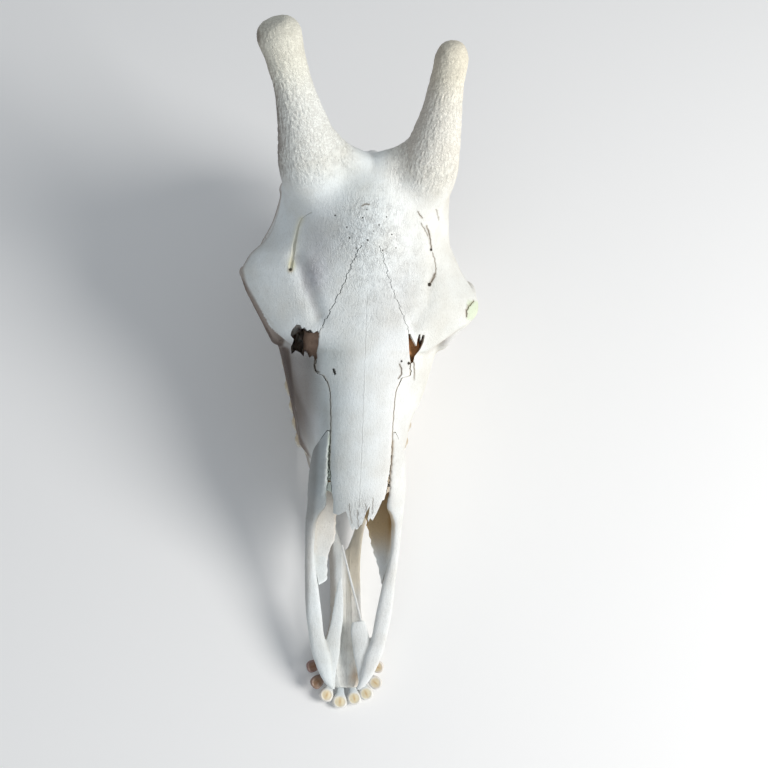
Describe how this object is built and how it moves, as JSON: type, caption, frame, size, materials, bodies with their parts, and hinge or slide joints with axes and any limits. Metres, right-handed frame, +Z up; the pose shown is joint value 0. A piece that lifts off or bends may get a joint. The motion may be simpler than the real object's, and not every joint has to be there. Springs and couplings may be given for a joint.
{
  "type": "giraffe skull",
  "caption": "Bleached giraffe skull with its lower jaw closed, two bony ossicones and a long narrow snout, lying on the base of the jaw.",
  "frame": {"origin": "centre of the bounding box, on the floor that the jaw lies on", "axes": "+Y from the snout towards the back of the head, +X to the skull's left, +Z up from the floor"},
  "size_m": [0.2398, 0.5872, 0.4283],
  "materials": {
    "cranium_bone": "dry bleached bone, matt, finely pitted",
    "ossicone_left_bone": "dry bleached bone, matt, finely pitted",
    "ossicone_right_bone": "dry bleached bone, matt, finely pitted",
    "nasal_left_bone": "dry bleached bone, matt, finely pitted",
    "nasal_right_bone": "dry bleached bone, matt, finely pitted",
    "maxilla_left_bone": "dry bleached bone, matt, finely pitted",
    "maxilla_right_bone": "dry bleached bone, matt, finely pitted",
    "premaxilla_left_bone": "dry bleached bone, matt, finely pitted",
    "premaxilla_right_bone": "dry bleached bone, matt, finely pitted",
    "zygomatic_left_bone": "dry bleached bone, matt, finely pitted",
    "zygomatic_right_bone": "dry bleached bone, matt, finely pitted",
    "mandible_left_bone": "dry bleached bone, matt, finely pitted",
    "mandible_right_bone": "dry bleached bone, matt, finely pitted"
  },
  "bodies": {
    "root": {"cranium": "cranium_bone", "ossicone_left": "ossicone_left_bone", "ossicone_right": "ossicone_right_bone", "nasal_left": "nasal_left_bone", "nasal_right": "nasal_right_bone", "maxilla_left": "maxilla_left_bone", "maxilla_right": "maxilla_right_bone", "premaxilla_left": "premaxilla_left_bone", "premaxilla_right": "premaxilla_right_bone", "zygomatic_left": "zygomatic_left_bone", "zygomatic_right": "zygomatic_right_bone", "mandible_left": "mandible_left_bone", "mandible_right": "mandible_right_bone"}
  },
  "joints": []
}
